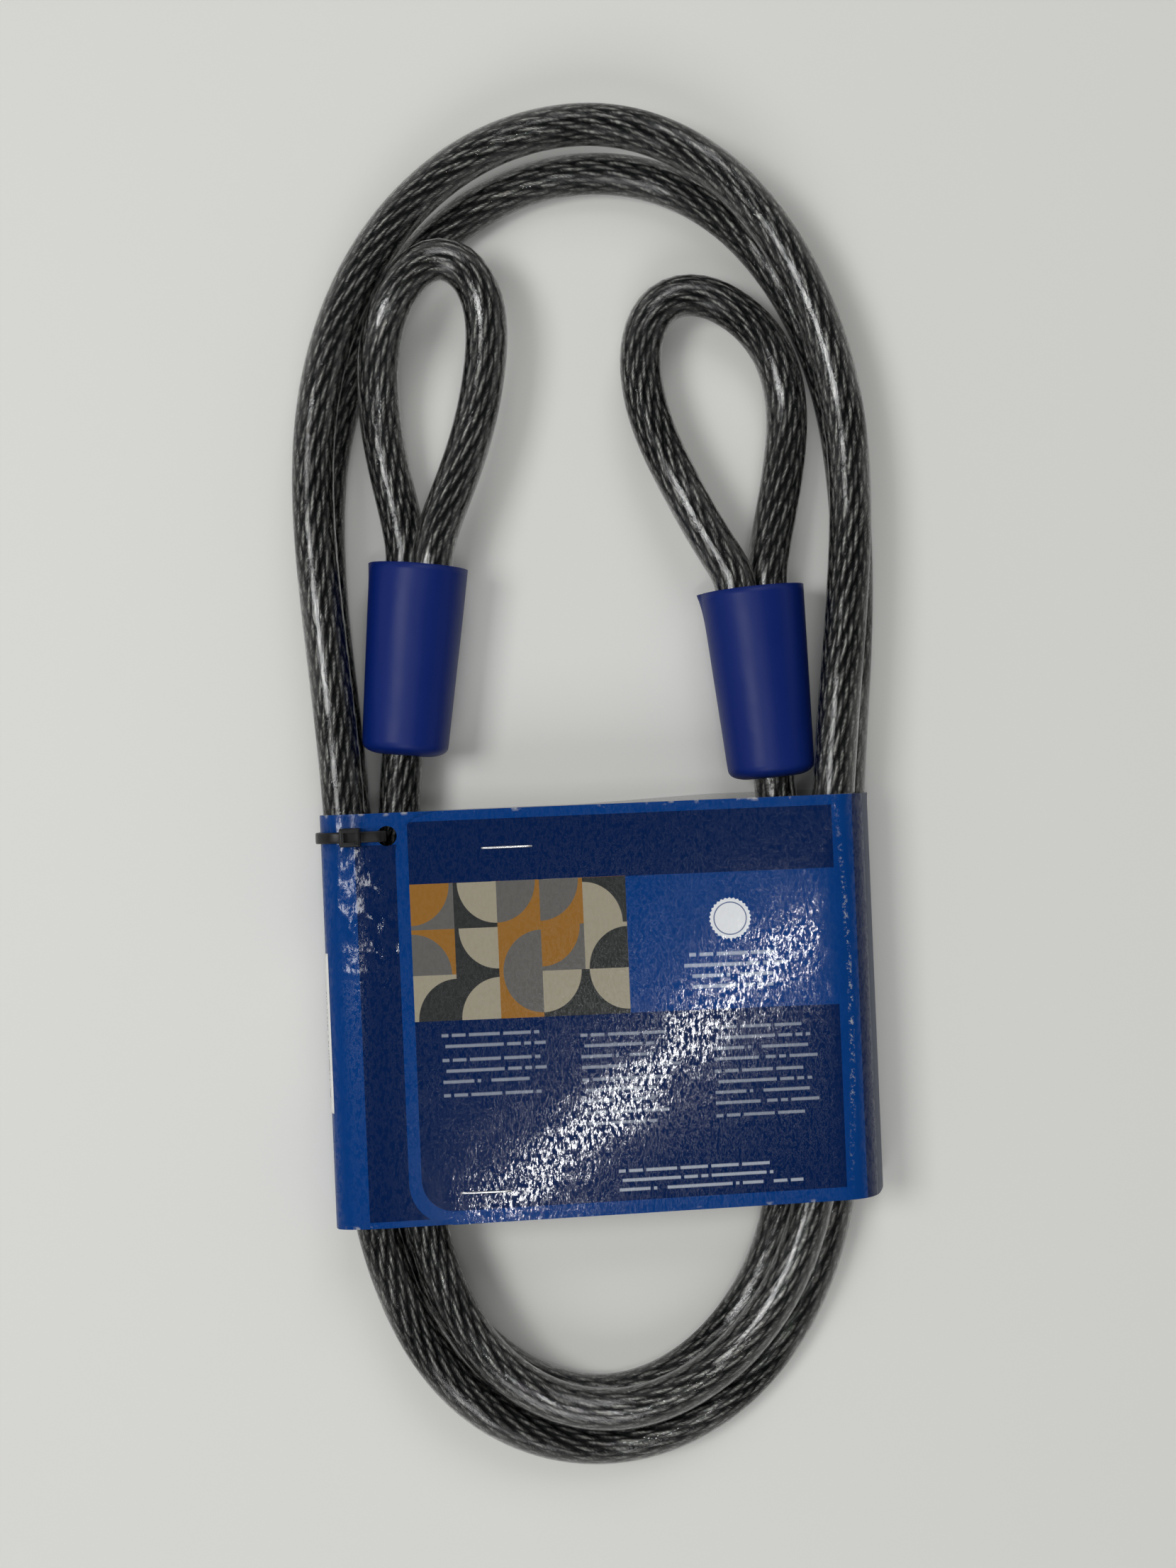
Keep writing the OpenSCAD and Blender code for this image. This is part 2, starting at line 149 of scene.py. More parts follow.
def spline(points, steps):
    """A cubic spline drawn by its points, so that every bend is smooth."""
    curve = []
    for a, b, c, d in zip(points, points[1:], points[2:], points[3:]):
        curve += [(a * (1 - t) ** 3 + b * (3 * t ** 3 - 6 * t * t + 4)
                   + c * (-3 * t ** 3 + 3 * t * t + 3 * t + 1) + d * t ** 3) / 6
                  for t in (k / steps for k in range(steps))]
    return curve + [(points[-3] + 4 * points[-2] + points[-1]) / 6]


def eye_line(end, turn, points, steps=10):
    lead = [depth * mm for depth in (6, 1, -4)]
    return ([leg(end, turn, leg_out, coat_in)]
            + spline([leg(end, turn, leg_out, depth) for depth in lead] + points
                     + [leg(end, turn, -leg_out, depth) for depth in reversed(lead)], steps)
            + [leg(end, turn, -leg_out, coat_in)])


def coil_line(steps=12):
    run_on = [depth * mm for depth in (0, 7, 14, 22)]
    return ([tail(left_end, -1, tail_in)]
            + spline([tail(left_end, -1, tail_in + depth) for depth in run_on]
                     + [lay(place) for place in range(first_place, last_place + 1)]
                     + [tail(right_end, 1, tail_in + depth) for depth in reversed(run_on)], steps)
            + [tail(right_end, 1, tail_in)])


def in_ferrule(end, turn, out):
    return [leg(end, turn, out, ferrule_in), leg(end, turn, out, ferrule_out)]


def even(points, step):
    """Points along a line, one every step."""
    along = [0.0]
    for a, b in zip(points, points[1:]):
        along.append(along[-1] + (b - a).length)
    count = max(2, round(along[-1] / step))
    result, i = [], 0
    for k in range(count + 1):
        want = along[-1] * k / count
        while i < len(points) - 2 and along[i + 1] < want:
            i += 1
        share = (want - along[i]) / (along[i + 1] - along[i])
        result.append(points[i].lerp(points[i + 1], min(share, 1)))
    return result


def length(points):
    return sum((b - a).length for a, b in zip(points, points[1:]))


def crossways(points):
    """At each point of a line, two directions square to it that don't turn about it."""
    headings = [(points[min(i + 1, len(points) - 1)] - points[max(i - 1, 0)]).normalized()
                for i in range(len(points))]
    side = headings[0].cross(Vector((0, 0, 1))).normalized()
    pairs = []
    for heading in headings:
        side = (side - heading * side.dot(heading)).normalized()
        pairs.append((side, side.cross(heading)))
    return pairs


def skin(name, rings, whole, closed=True):
    """A tube drawn over rings of points. Its UV is metres along it and the share round it."""
    around = len(rings[0])
    bm = bmesh.new()
    bmesh.ops.create_grid(bm, x_segments=around, y_segments=len(rings) - 1, size=1)
    bm.verts.ensure_lookup_table()
    uv = bm.loops.layers.uv.new("UVMap")
    for i, ring in enumerate(rings):
        for k, spot in enumerate(ring + ring[:1]):
            bm.verts[i * (around + 1) + k].co = spot
    for face in bm.faces:
        for corner in face.loops:
            i, k = divmod(corner.vert.index, around + 1)
            corner[uv].uv = (whole * i / (len(rings) - 1), k / around)
    bmesh.ops.weld_verts(bm, targetmap={
        bm.verts[i * (around + 1) + around]: bm.verts[i * (around + 1)] for i in range(len(rings))})
    if closed:
        bmesh.ops.holes_fill(bm, edges=bm.edges, sides=0)
    bmesh.ops.recalc_face_normals(bm, faces=bm.faces)
    return piece(name, bm)


def tube(name, line, around, radius, turns=0.0):
    """A tube along a line, clear of the floor.

    radius gives the distance from the line at each share of the way round, and turns is how
    often the tube twists.
    """
    rings = []
    for i, (point, (side, up)) in enumerate(zip(line, crossways(line))):
        rings.append([])
        for k in range(around):
            turn = 2 * pi * (k / around + turns * i / (len(line) - 1))
            spot = point + radius(k / around) * (cos(turn) * side + sin(turn) * up)
            rings[-1].append(Vector((spot.x, spot.y, max(spot.z, 0))))
    return skin(name, rings, length(line))


def piece(name, bm, smooth=True):
    """An object made of a finished bmesh."""
    mesh = bpy.data.meshes.new(name)
    for face in bm.faces:
        face.smooth = smooth
    bm.to_mesh(mesh)
    bm.free()
    made = bpy.data.objects.new(name, mesh)
    bpy.context.scene.collection.objects.link(made)
    return made


class Finish:
    """A material under construction, with a short call for each of its nodes."""

    def __init__(self, name):
        self.material = bpy.data.materials.new(name)
        self.material.use_nodes = True
        self.tree = self.material.node_tree
        self.shader = self.tree.nodes["Principled BSDF"]

    def put(self, socket, value):
        if isinstance(value, bpy.types.NodeSocket):
            self.tree.links.new(value, socket)
        else:
            socket.default_value = value

    def set(self, **values):
        for name, value in values.items():
            self.put(self.shader.inputs[name.replace("_", " ")], value)

    def node(self, kind, settings=None, **values):
        made = self.tree.nodes.new("ShaderNode" + kind)
        for name, value in (settings or {}).items():
            setattr(made, name, value)
        for name, value in values.items():
            self.put(made.inputs[name.replace("_", " ")], value)
        return made

    def math(self, operation, *values):
        made = self.tree.nodes.new("ShaderNodeMath")
        made.operation = operation
        for socket, value in zip(made.inputs, values):
            self.put(socket, value)
        return made.outputs[0]

    def mapped(self, value, low, high, to_low=0.0, to_high=1.0, smooth=False):
        made = self.node("MapRange", {"interpolation_type": "SMOOTHSTEP" if smooth else "LINEAR"})
        for socket, number in zip(made.inputs, (value, low, high, to_low, to_high)):
            self.put(socket, number)
        return made.outputs[0]

    def mix(self, share, one, other):
        made = self.node("Mix", {"data_type": "RGBA"})
        for index, value in ((0, share), (6, one), (7, other)):
            colour = (*value, 1) if isinstance(value, tuple) and len(value) == 3 else value
            self.put(made.inputs[index], colour)
        return made.outputs[2]

    def noise(self, vector, scale, detail=2.0, roughness=0.5):
        return self.node("TexNoise", Vector=vector, Scale=scale, Detail=detail,
                         Roughness=roughness).outputs[0]

    def bump(self, height, strength, distance, under=None):
        made = self.node("Bump", Height=height, Strength=strength, Distance=distance)
        if under is not None:
            self.put(made.inputs["Normal"], under)
        return made.outputs[0]

    def split(self, vector):
        return self.node("SeparateXYZ", Vector=vector).outputs[:3]

    def join(self, x, y, z=0.0):
        return self.node("CombineXYZ", X=x, Y=y, Z=z).outputs[0]

    def chance(self, x, y=0.0):
        """A number from 0 to 1 that stays the same for the same x and y."""
        made = self.node("TexWhiteNoise", {"noise_dimensions": "2D"}, Vector=self.join(x, y))
        return made.outputs[0]

    def far(self, x, y):
        """How far the place x, y is from the middle."""
        made = self.node("VectorMath", {"operation": "LENGTH"}, Vector=self.join(x, y))
        return made.outputs["Value"]

    def inside(self, x, y, low, high, corner=0.0, soft=0.08 * mm):
        """A mask: 1 within a box with round corners."""
        past = []
        for at, start, end in ((x, low[0], high[0]), (y, low[1], high[1])):
            off = self.math("ABSOLUTE", self.math("SUBTRACT", at, (start + end) / 2))
            past.append(self.math(
                "MAXIMUM", self.math("SUBTRACT", off, (end - start) / 2 - corner), 0))
        return self.mapped(self.far(*past), corner, corner + soft, 1, 0)

    def colours(self, share, *steps):
        """One of the given colours, chosen by a number from 0 to 1."""
        made = self.node("ValToRGB", Fac=share)
        made.color_ramp.interpolation = "CONSTANT"
        for k, colour in enumerate(steps):
            if k > 1:
                made.color_ramp.elements.new(k / len(steps))
            made.color_ramp.elements[k].position = k / len(steps)
            made.color_ramp.elements[k].color = (*colour, 1)
        return made.outputs[0]

    def uv(self):
        return self.node("UVMap", {"uv_map": "UVMap"}).outputs[0]

    def place(self):
        return self.node("TexCoord").outputs["Object"]


left_eye_line = eye_line(left_end, left_turn, left_eye)
right_eye_line = eye_line(right_end, right_turn, right_eye)
coil_coat_line = coil_line()
rope_line = even(
    in_ferrule(left_end, left_turn, -bore_out)[::-1] + left_eye_line[::-1]
    + in_ferrule(left_end, left_turn, bore_out) + coil_coat_line
    + in_ferrule(right_end, right_turn, bore_out)[::-1] + right_eye_line
    + in_ferrule(right_end, right_turn, -bore_out), 2 * mm)

strands = 8
lay_length = 59 * mm
crown_r = 3.2 * mm                        # the crowns stand proud of the rope's mean size
strand_r = crown_r / (1 + 1 / sin(pi / strands))         # so that the strands touch side by side
strand_out = crown_r - strand_r


def strand_skin(share):
    """Distance from the rope's middle to the outside of its strands."""
    off = ((share * strands) % 1 - 0.5) * 2 * pi / strands
    return strand_out * cos(off) + sqrt(max(strand_r ** 2 - (strand_out * sin(off)) ** 2, 0))


steel_rope = tube("rope", rope_line, 8 * strands, strand_skin,
                  turns=-length(rope_line) / lay_length)

bundle_every = lay_length / strands / 2   # along a strand, from one bundle's crown to the next
bundles_over = 2                          # bundles seen from valley to valley of a strand
wires = 5                                 # wires seen across one bundle
wire = Finish("rope_wires")
rope_along, rope_round, _ = wire.split(wire.uv())
across = wire.math("MULTIPLY", rope_round, strands)
strand_name = wire.math("FLOOR", across)
from_crown = wire.math("SUBTRACT", wire.math("FRACT", across), 0.5)
# The bundles lie along the rope, so they cross their strand the other way
sway = wire.noise(wire.place(), 140, 3)
bundle_at = wire.math("SUBTRACT", wire.math("MULTIPLY_ADD", from_crown, bundles_over, sway),
                      wire.math("MULTIPLY", rope_along, 1 / bundle_every))
bundle_name = wire.math("FLOOR", bundle_at)
in_bundle = wire.math("SUBTRACT", wire.math("FRACT", bundle_at), 0.5)
# Each bundle shows as a lens, and its wires run aslant, more so where they dive at its ends. The
# lens is painted light on each bundle's crown, fading to painted shade in the valleys between
# bundles.
lens = wire.mapped(wire.far(from_crown, in_bundle), 0.12, 0.54, 1.0, 0.0, smooth=True)
in_lens = wire.math("MULTIPLY_ADD", in_bundle, -1 / bundles_over, from_crown)
slant = wire.math("MULTIPLY_ADD", wire.math("MULTIPLY", in_lens, in_lens), 26, 11)
wire_at = wire.math("MULTIPLY_ADD", in_lens, slant, wire.math("MULTIPLY", bundle_at, wires))
in_wire = wire.math("PINGPONG", wire_at, 0.5)
each = wire.chance(strand_name, bundle_name)
# Each wire is painted darker at its sides, painted shade between the wires, and this noise paints
# glints along it: painted highlights
glint = wire.noise(wire.join(wire.math("MULTIPLY", rope_along, 700),
                             wire.math("FLOOR", wire_at)), 1.0, 1.0, 0.5)
line = wire.math("MULTIPLY", wire.mapped(in_wire, 0.1, 0.45, 0.15, 1.15, smooth=True),
                 wire.mapped(glint, 0.4, 0.75, 0.35, 1.9, smooth=True))
# The wires' colour is painted light and shade from the lens and the wires, times each bundle's own
# random tone; its dark end is the painted shade of the valleys
painted_light_and_tone = wire.math("MULTIPLY", lens,
                   wire.math("MULTIPLY", line, wire.mapped(each, 0, 1, 0.5, 1.3)))
height = wire.math("MULTIPLY_ADD", in_wire, 0.25, lens)
wire.set(Base_Color=wire.mix(painted_light_and_tone, (0.009, 0.010, 0.012), (1.0, 0.98, 0.91)),
         Metallic=0.7, Roughness=wire.mapped(painted_light_and_tone, 0, 1, 0.55, 0.38),
         Normal=wire.bump(height, 1.0, 0.2 * mm))
steel_rope.data.materials.append(wire.material)


# ---- The coats ----
# Smoke-clear vinyl, pressed over the rope while hot, so that it fills the space between the
# strands. It is stripped off where the rope goes into a ferrule, which leaves three lengths.
smoke = Finish("clear_vinyl")
drift = smoke.noise(smoke.place(), 90, 2)
coat_along, coat_round, _ = smoke.split(smoke.uv())
ripple = smoke.noise(smoke.join(smoke.math("MULTIPLY", coat_along, 330),
                                smoke.math("MULTIPLY", coat_round, 24)), 1.0, 4.0, 0.7)
gloss = smoke.noise(smoke.place(), 24, 2)    # worn dull in places
smoke.set(Base_Color=(0.86, 0.88, 0.89, 1), Roughness=0.03, IOR=1.5, Transmission_Weight=1.0,
          Specular_Tint=(0, 0, 0, 1), Normal=smoke.bump(drift, 0.15, 0.5 * mm),
          Coat_Weight=smoke.mapped(gloss, 0.40, 0.52, 0.1, 1.0), Coat_IOR=1.6, Coat_Roughness=0.1,
          Coat_Normal=smoke.bump(ripple, 1.0, 0.13 * mm, smoke.bump(drift, 0.4, 1 * mm)))
depth = smoke.node("VolumeAbsorption", Color=(0.34, 0.34, 0.33, 1), Density=340)
smoke.put(smoke.tree.nodes["Material Output"].inputs["Volume"], depth.outputs[0])
# Lamps reach the rope through the coat
through = smoke.node("BsdfTransparent", Color=(0.86, 0.88, 0.89, 1))
lit = smoke.node("MixShader")
for socket, source in ((lit.inputs[0], smoke.node("LightPath").outputs["Is Shadow Ray"]),
                       (lit.inputs[1], smoke.shader.outputs[0]),
                       (lit.inputs[2], through.outputs[0]),
                       (smoke.tree.nodes["Material Output"].inputs["Surface"], lit.outputs[0])):
    smoke.put(socket, source)
coats = {}
for name, line in (("left_eye_coat", left_eye_line), ("coil_coat", coil_coat_line),
                   ("right_eye_coat", right_eye_line)):
    coats[name] = tube(name.replace("coat", "vinyl"), even(line, 2.5 * mm), 28,
                       lambda share: cable_d / 2)
    coats[name].data.materials.append(smoke.material)
    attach(coats[name], "cable")
    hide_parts(name)

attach(steel_rope, "cable")
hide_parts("steel_rope")


# ---- The ferrules ----
# Swaged aluminium sleeves, one for each eye, with the rope through them twice. Their shape is
# right as it is, so only the finish is made: pressed, slightly rough metal.
swaged = Finish("swaged_metal")
grain = swaged.noise(swaged.place(), 900, 3)
swaged.set(Base_Color=swaged.mix(grain, (0.50, 0.51, 0.52), (0.66, 0.67, 0.68)), Metallic=1.0,
           Roughness=swaged.mapped(grain, 0.3, 0.7, 0.32, 0.5),
           Normal=swaged.bump(grain, 0.3, 0.1 * mm))
for name in ("left_ferrule", "right_ferrule"):
    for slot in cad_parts[name].material_slots:
        slot.material = swaged.material


# ---- The covers ----
# Dip-moulded blue vinyl sleeves, slid over the ferrules: open and a little wider at the mouth,
# rounded at the closed end, where the cable leaves through a hole in the skin.
cover_l = 45 * mm
cover_wall = 1 * mm
cover_end_r = 10.2 * mm
cover_round = 3 * mm
tail_hole_r = cable_d / 2 + 0.4 * mm
left_mouth_r = 11.8 * mm
right_mouth_r = 12.3 * mm
flare_l = 14 * mm                         # how deep the mouth's spread and dents reach
mouth_spread = 0.25 * mm
rim_in = 0.8 * mm                         # from the closed end to the inner rim of its hole
cover_rings = 26
cover_around = 96

vinyl = Finish("blue_vinyl")
wave = vinyl.noise(vinyl.place(), 120, 2)
cloud = vinyl.noise(vinyl.place(), 35, 3)
fine = vinyl.noise(vinyl.place(), 900, 3, 0.6)
vinyl.set(Base_Color=vinyl.mix(cloud, (0.001, 0.012, 0.125), (0.001, 0.016, 0.150)),
          Roughness=vinyl.mapped(cloud, 0.3, 0.7, 0.40, 0.52), IOR=1.5, Specular_IOR_Level=0.25,
          Normal=vinyl.bump(fine, 0.25, 0.06 * mm, vinyl.bump(wave, 0.3, 0.5 * mm)))


def cover_radius(turn, depth, mouth_r, legs_turn, pinch):
    """A cover's radius: tapered, spread by the legs, and with a ridge and a dent at the lip."""
    radius = mouth_r + (cover_end_r - mouth_r) * depth / cover_l
    near_mouth = max(0, 1 - depth / flare_l) ** 2
    radius += mouth_spread * near_mouth * cos(2 * (turn - legs_turn))
    ridge = 0.9 * mm * max(0, 1 - abs(turn - pi) / 0.12)
    dent = 0.8 * mm * max(0, 1 - abs(turn - pi - 0.42) / 0.4)
    return radius + pinch * near_mouth ** 2 * (ridge - dent)


def cover(name, end, mouth_r, side, legs_turn, pinch):
    shoulder = cover_l - cover_round
    rings = []
    for depth in [k / cover_rings * shoulder for k in range(cover_rings + 1)]:
        rings.append([])
        for k in range(cover_around):
            turn = 2 * pi * k / cover_around
            radius = cover_radius(turn, depth, mouth_r, legs_turn, pinch)
            rings[-1].append(end @ Vector((radius * cos(turn), radius * sin(turn), depth)))
    # Round the shoulder to the closed end, and down the rim of the hole in it
    shoulder_r = mouth_r + (cover_end_r - mouth_r) * shoulder / cover_l
    bends = [radians(9 * k) for k in range(1, 11)]
    for share, depth in [(1 - cos(bend), shoulder + cover_round * sin(bend)) for bend in bends] + [
            (1, cover_l - rim_in)]:
        rings.append([])
        for k in range(cover_around):
            turn = 2 * pi * k / cover_around
            outer = shoulder_r - cover_round * share
            hole = Vector((side * tail_side + tail_hole_r * cos(turn),
                           tail_up + tail_hole_r * sin(turn)))
            rim = Vector((outer * cos(turn), outer * sin(turn)))
            spot = rim.lerp(hole, share ** 2)
            rings[-1].append(end @ Vector((spot.x, spot.y, depth)))
    shell = skin(name + "_sleeve", rings, cover_l, closed=False)
    wall = shell.modifiers.new("wall", "SOLIDIFY")
    wall.thickness = cover_wall
    wall.offset = -1
    wall.use_even_offset = False
    shell.data.materials.append(vinyl.material)
    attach(shell, name)
    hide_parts(name)


cover("left_cover", left_end, left_mouth_r, side=-1, legs_turn=left_turn, pinch=0.3)
cover("right_cover", right_end, right_mouth_r, side=1, legs_turn=right_turn, pinch=1.0)


# ---- The card band ----
# Laminated card, printed in two blues, wrapped round the coil with its front flap over an under
# flap. It lies on the cable inside it, which shows through as low humps.
card_t = 0.5 * mm
card_l = 96 * mm
card_h = 24.225 * mm
flap_gap = 0.2 * mm
flap_round = 10 * mm
flap_x, under_x = -44 * mm, -6 * mm
left_x, right_x = -61.9 * mm, 68.6 * mm
front_z = card_h - card_t / 2
under_z = front_z - card_t - flap_gap
back_z = card_t / 2
fold_reach = 2.2 * mm                     # most that each pass cuts off a fold
card_room = cable_d / 2 + card_t / 2 + 0.12 * mm         # from the cable's line to the card's
card_wave = 0.03 * mm
back_shift = 1.2 * mm                     # the right half of the back panel stands out at the top
card_taper = 0.03                         # its lower edge is cut a little askew
card_spot = Vector((0.6, -52.8, 0)) * mm
card_turn = radians(2.4)
on_card = Matrix.Translation(card_spot - middle) @ Matrix.Rotation(card_turn, 4, "Z")


def rounded(points):
    """A line with its corners cut round, in three passes."""
    for _ in range(3):
        cut = [points[0]]
        for a, b in zip(points, points[1:]):
            reach = min(0.25 * (b - a).length, fold_reach) / (b - a).length
            cut += [a.lerp(b, reach), b.lerp(a, reach)]
        points = cut + [points[-1]]
    return points


# The card's line seen along the coil, from the front flap's edge round to the hidden edge
card_corners = [Vector(p) for p in (
    (flap_x, front_z), (right_x - 7.2 * mm, front_z), (right_x - 3.2 * mm, front_z - 4 * mm),
    (right_x - 1.6 * mm, 14 * mm), (right_x, 5 * mm), (right_x - 1 * mm, back_z),
    (left_x + 1 * mm, back_z), (left_x, 7 * mm), (left_x, under_z - 4 * mm),
    (left_x + 2.3 * mm, under_z - 1.6 * mm), (left_x + 9.5 * mm, under_z), (under_x, under_z))]
card_line = even(rounded(card_corners), 1.5 * mm)
card_rows = 64
cable_points = even(coil_coat_line, 1 * mm)


def card_point(column, y):
    """A point of the card's middle surface on the coil, before it is pushed out by the cable."""
    spot = card_line[column]
    askew = 1 - card_taper * spot.x / right_x if y < 0 else 1
    return on_card @ Vector((spot.x, y * askew, spot.y))


def card_normal(column):
    a = card_line[max(column - 1, 0)]
    b = card_line[min(column + 1, len(card_line) - 1)]
    along = (b - a).normalized()
    return (on_card.to_3x3() @ Vector((-along.y, 0, along.x))).normalized()


cable_tree = KDTree(len(cable_points))
for i, point in enumerate(cable_points):
    cable_tree.insert(point, i)
cable_tree.balance()


def card_surface(column, y, off=0.0):
    """A point of the card as it lies: pushed out where the cable is under it, and a little wavy."""
    spot = card_point(column, y)
    out = card_normal(column)
    front = card_line[column].y > under_z + 0.3 * mm
    below = spot - out * (card_t + flap_gap if front and card_line[column].x < under_x else 0)
    near = cable_tree.find(below)[2]
    push = max(0, card_room - near)
    wavy = card_wave * noise.noise(Vector((spot.x * 45, spot.y * 38, spot.z * 20)))
    if card_line[column].y < 2 * mm:
        push, wavy = 0, 0
        spot.y += back_shift * min(max(card_line[column].x / (30 * mm), 0), 1)
    return spot + out * (push + wavy + off)


bm = bmesh.new()
bmesh.ops.create_grid(bm, x_segments=len(card_line) - 1, y_segments=card_rows, size=1)
bm.verts.ensure_lookup_table()
uv = bm.loops.layers.uv.new("UVMap")
columns = len(card_line)
card_step = length(card_line) / (columns - 1)
flap_columns = ceil(3 * flap_round / card_step)


def flap_edge(y):
    """How far the front flap's rounded corner draws its edge back at a height of the card."""
    into = max(0, abs(y) - (card_l / 2 - flap_round))
    return flap_round - sqrt(max(flap_round ** 2 - into ** 2, 0))


laid_flat = {}                            # where each point is on the sheet before it is folded
for vert in bm.verts:
    row, column = divmod(vert.index, columns)
    y = (row / card_rows - 0.5) * card_l
    at = column * card_step
    if column < flap_columns:
        drawn = flap_edge(y)
        at = drawn + (flap_columns * card_step - drawn) * column / flap_columns
    share, column = (at / card_step) % 1, min(int(at / card_step), columns - 2)
    vert.co = card_surface(column, y).lerp(card_surface(column + 1, y), share)
    laid_flat[vert.index] = (at, y)
for face in bm.faces:
    for corner in face.loops:
        corner[uv].uv = laid_flat[corner.vert.index]
card = piece("card_band", bm)
wall = card.modifiers.new("thickness", "SOLIDIFY")
wall.thickness = card_t
wall.offset = 0
wall.material_offset = 1
wall.material_offset_rim = 2

# Card places are in the card's own frame: x to the right and y up from its middle
tie_hole = Vector((-45.9, 42.6)) * mm
medium_blue, navy = (0.001, 0.037, 0.180), (0.0008, 0.012, 0.066)
pale_ink = (0.55, 0.60, 0.66)
seal_at, seal_r = (33.4 * mm, 20.1 * mm), 4.7 * mm

laminate = Finish("card_print")
card_along, print_y, _ = laminate.split(laminate.uv())
print_x = laminate.math("ADD", card_along, flap_x)
under_print_x = laminate.math("ADD", card_along, under_x - card_step * (columns - 1))
scuff = laminate.noise(laminate.place(), 140, 4, 0.6)
print_colour = laminate.mix(laminate.mapped(scuff, 0.35, 0.65), medium_blue, (0.002, 0.041, 0.192))
# The navy panels, each from its low to its high corner in millimetres, with its rounding
for x, low, high, corner in (
        (print_x, (-41, 31), (58, 45.6), 0), (print_x, (-41, -10), (58, -1), 0),
        (print_x, (-41, -44.8), (58, -1), 7.5), (print_x, (0, -44.8), (58, -10), 0),
        (print_x, (63.2, -60), (120, 60), 0), (under_print_x, (-53.5, -46.5), (0, 40.5), 0)):
    print_colour = laminate.mix(
        laminate.inside(x, print_y, [v * mm for v in low], [v * mm for v in high], corner * mm),
        print_colour, navy)

# The picture's place holds a plain pattern of quarter discs in tiles
picture_low, picture_high = Vector((-41, -1)) * mm, Vector((9.3, 31)) * mm
tiles_across, tiles_up = 5, 3
tile_x, tile_y = (laminate.mapped(at, start, end, 0, count) for at, start, end, count in (
    (print_x, picture_low.x, picture_high.x, tiles_across),
    (print_y, picture_low.y, picture_high.y, tiles_up)))
column_name, row_name = (laminate.math("FLOOR", at) for at in (tile_x, tile_y))
corner_off = []
for at, seed in ((tile_x, 3.5), (tile_y, 8.5)):
    turned = laminate.math("GREATER_THAN", laminate.chance(laminate.math("ADD", column_name, seed),
                                                           row_name), 0.5)
    corner_off.append(laminate.math("ABSOLUTE", laminate.math(
        "SUBTRACT", laminate.math("FRACT", at), turned)))
tile_pick = laminate.chance(column_name, laminate.math("ADD", row_name, 21.5))
tile_inks = ((0.31, 0.28, 0.21), (0.27, 0.125, 0.025), (0.030, 0.032, 0.032), (0.115, 0.112, 0.105))
disc = laminate.mapped(laminate.far(*corner_off), 0.90, 0.91, 1, 0)
picture = laminate.mix(
    disc, laminate.colours(tile_pick, *tile_inks),
    laminate.colours(laminate.math("FRACT", laminate.math("ADD", tile_pick, 0.5)), *tile_inks))
print_colour = laminate.mix(laminate.inside(print_x, print_y, picture_low, picture_high),
                            print_colour, picture)

# A plain seal: a white disc with a scalloped edge and a thin ring
seal_x, seal_y = (laminate.math("SUBTRACT", at, middle_at)
                  for at, middle_at in zip((print_x, print_y), seal_at))
seal_out = laminate.far(seal_x, seal_y)
seal_turn = laminate.math("ARCTAN2", seal_y, seal_x)
scallop = laminate.math("COSINE", laminate.math("MULTIPLY", seal_turn, 30))
seal_edge = laminate.math("ADD", seal_out, laminate.math("MULTIPLY", scallop, 0.14 * mm))
seal = laminate.mapped(seal_edge, seal_r, seal_r + 0.08 * mm, 1, 0)
ring = laminate.mapped(laminate.math("ABSOLUTE", laminate.math("SUBTRACT", seal_out, 0.8 * seal_r)),
                       0.1 * mm, 0.18 * mm, 1, 0)
seal = laminate.math("SUBTRACT", seal, laminate.math("MULTIPLY", ring, 0.85))
print_colour = laminate.mix(seal, print_colour, (0.72, 0.74, 0.76))


def dashes(left, top, rows, widest, pitch, thick=0.3, centred=False):
    """A mask of plain dashes in rows, where a text would stand."""
    row_at = laminate.math("DIVIDE", laminate.math("SUBTRACT", top, print_y), pitch)
    row = laminate.math("FLOOR", row_at)
    past = laminate.math("SUBTRACT", print_x, left)
    row_width = laminate.mapped(laminate.chance(row, left * 1000), 0, 1, 0.7 * widest, widest)
    if centred:
        past = laminate.math("ADD", past, laminate.math("MULTIPLY", row_width, 0.5))
    word = laminate.math("FLOOR", laminate.math("DIVIDE", past, 0.8 * mm))
    mask = laminate.mapped(laminate.math("ABSOLUTE", laminate.math(
        "SUBTRACT", laminate.math("FRACT", row_at), 0.5)), thick - 0.05, thick + 0.05, 1, 0)
    for value, least, most in ((row_at, 0, rows), (past, 0, row_width),
                               (laminate.chance(word, row), 0.15, 1)):
        mask = laminate.math("MULTIPLY", mask, laminate.math("GREATER_THAN", value, least))
        mask = laminate.math("MULTIPLY", mask, laminate.math("LESS_THAN", value, most))
    return mask


# Each text's left edge, top, number of rows and width, in millimetres
text_rows = ((-35, -3.2, 2, 26), (-35, -8.9, 3, 26), (-35, -17, 1, 26),
             (-2.6, -4.5, 4, 24), (-2.6, -14.9, 3, 24), (-2.6, -22.7, 2, 24),
             (28.3, -4, 4, 27), (28.3, -14.4, 4, 27), (28.3, -24.9, 1, 27))
for left, top, rows, widest in text_rows:
    lines = dashes(left * mm, top * mm, rows, widest * mm, 2.5 * mm, 0.14)
    print_colour = laminate.mix(laminate.math("MULTIPLY", lines, 0.4), print_colour, pale_ink)
    dot = laminate.inside(print_x, print_y, ((left - 2) * mm, (top - 1.25) * mm),
                          ((left - 2) * mm, (top - 1.25) * mm), 0.35 * mm)
    print_colour = laminate.mix(dot, print_colour, pale_ink)
